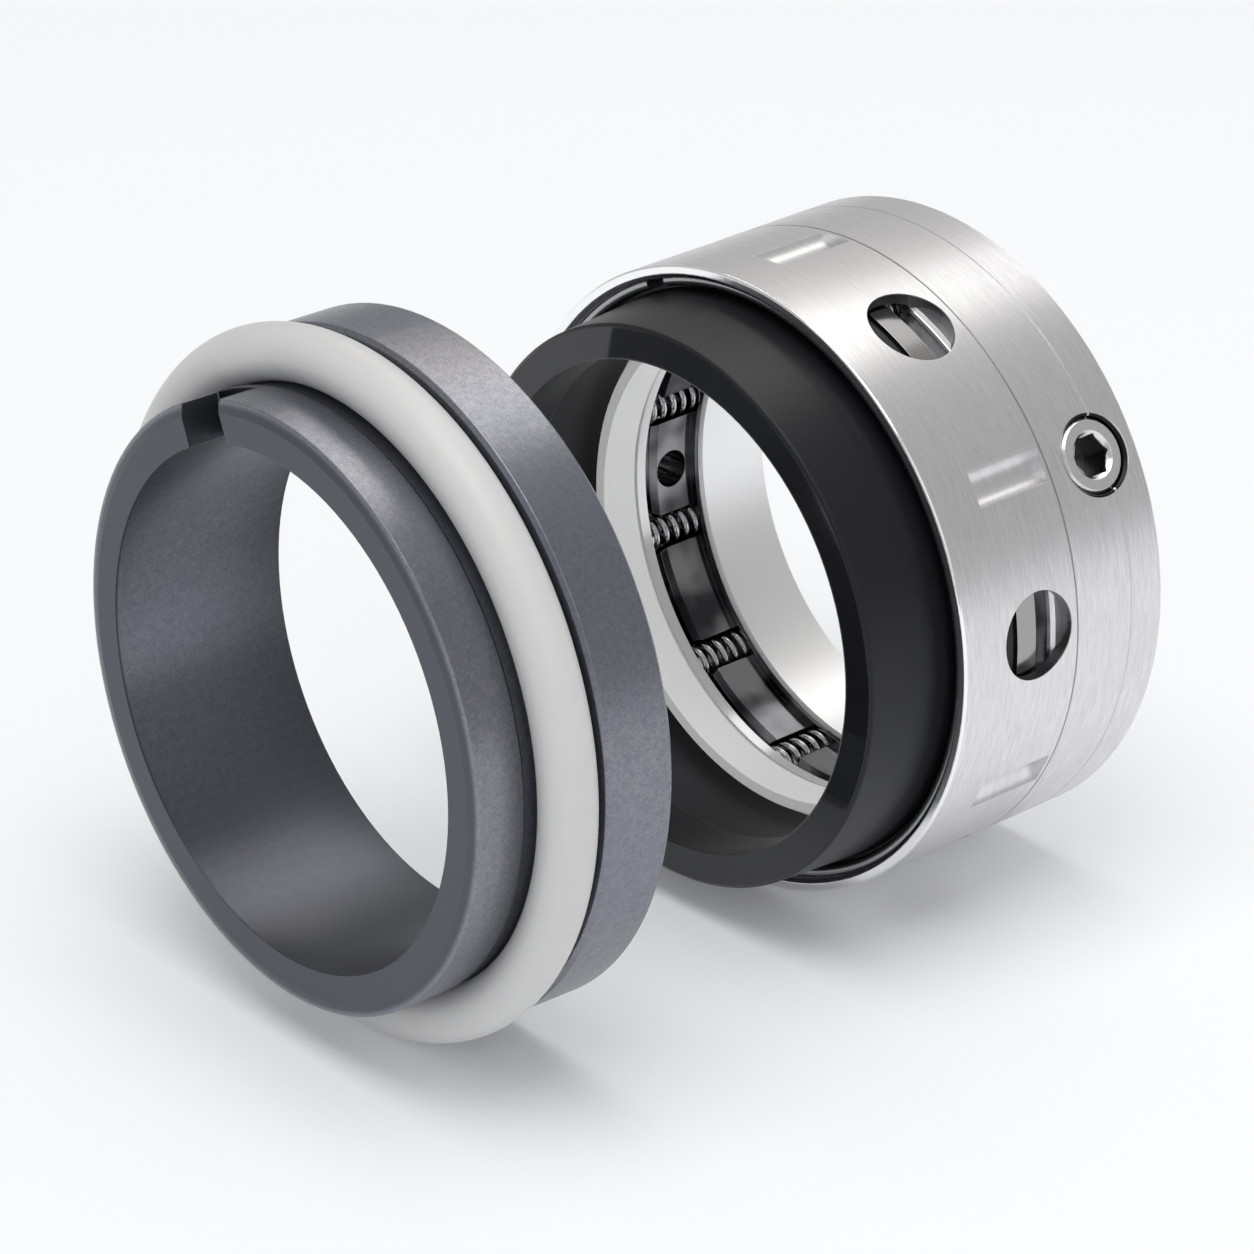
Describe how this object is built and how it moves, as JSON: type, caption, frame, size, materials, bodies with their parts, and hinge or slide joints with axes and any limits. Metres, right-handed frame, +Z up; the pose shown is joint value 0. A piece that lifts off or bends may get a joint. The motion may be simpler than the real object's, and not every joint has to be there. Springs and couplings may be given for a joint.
{
  "type": "mechanical seal",
  "caption": "Multi-spring pump shaft seal: steel drive collar with sprung carbon ring, and a dark ceramic seat with a white O-ring.",
  "frame": {"origin": "centre of the shaft bore at the drive collar's back face", "axes": "+X along the shaft out of the collar's back, -X towards the seat, +Z up"},
  "size_m": [0.0859, 0.0722, 0.0722],
  "materials": {
    "collar_steel": "fine turned and brushed",
    "shell_steel": "brushed round the shell",
    "ring_steel": "drawn wire",
    "disc_steel": "polished",
    "spring_steel": "bright drawn wire",
    "screw_steel": "bright machined",
    "carbon": "fine black carbon with a lapped face",
    "wedge_white": "turned white fluoropolymer",
    "seat_ceramic": "ground dark blue-grey carbide",
    "oring_white": "smooth white fluoropolymer"
  },
  "bodies": {
    "housing": {"drive_collar": "collar_steel", "retainer_shell": "shell_steel", "snap_ring": "ring_steel", "spring_1": "spring_steel", "spring_2": "spring_steel", "spring_3": "spring_steel", "spring_4": "spring_steel", "spring_5": "spring_steel", "spring_6": "spring_steel", "spring_7": "spring_steel", "spring_8": "spring_steel", "spring_9": "spring_steel", "spring_10": "spring_steel", "spring_11": "spring_steel", "spring_12": "spring_steel", "seat_ring": "seat_ceramic", "seat_o_ring": "oring_white"},
    "sealing_face": {"primary_ring": "carbon", "wedge_ring": "wedge_white", "thrust_disc": "disc_steel"},
    "set_screw_1": {"set_screw_1": "screw_steel"},
    "set_screw_2": {"set_screw_2": "screw_steel"},
    "set_screw_3": {"set_screw_3": "screw_steel"}
  },
  "joints": [
    {"name": "face_float", "type": "slide", "parent": "housing", "child": "sealing_face", "axis": [1, 0, 0], "range_m": [0, 0.0016], "stiffness_N_per_m": 8000, "springref_m": -0.003, "deforming": ["spring_1", "spring_2", "spring_3", "spring_4", "spring_5", "spring_6", "spring_7", "spring_8", "spring_9", "spring_10", "spring_11", "spring_12"]},
    {"name": "set_screw_1_travel", "type": "slide", "parent": "housing", "child": "set_screw_1", "axis": [0, -0.8729, -0.4879], "range_m": [-0.0015, 0.0012]},
    {"name": "set_screw_2_travel", "type": "slide", "parent": "housing", "child": "set_screw_2", "axis": [0, 0.014, 0.9999], "range_m": [-0.0015, 0.0012]},
    {"name": "set_screw_3_travel", "type": "slide", "parent": "housing", "child": "set_screw_3", "axis": [0, 0.859, -0.512], "range_m": [-0.0015, 0.0012]}
  ]
}
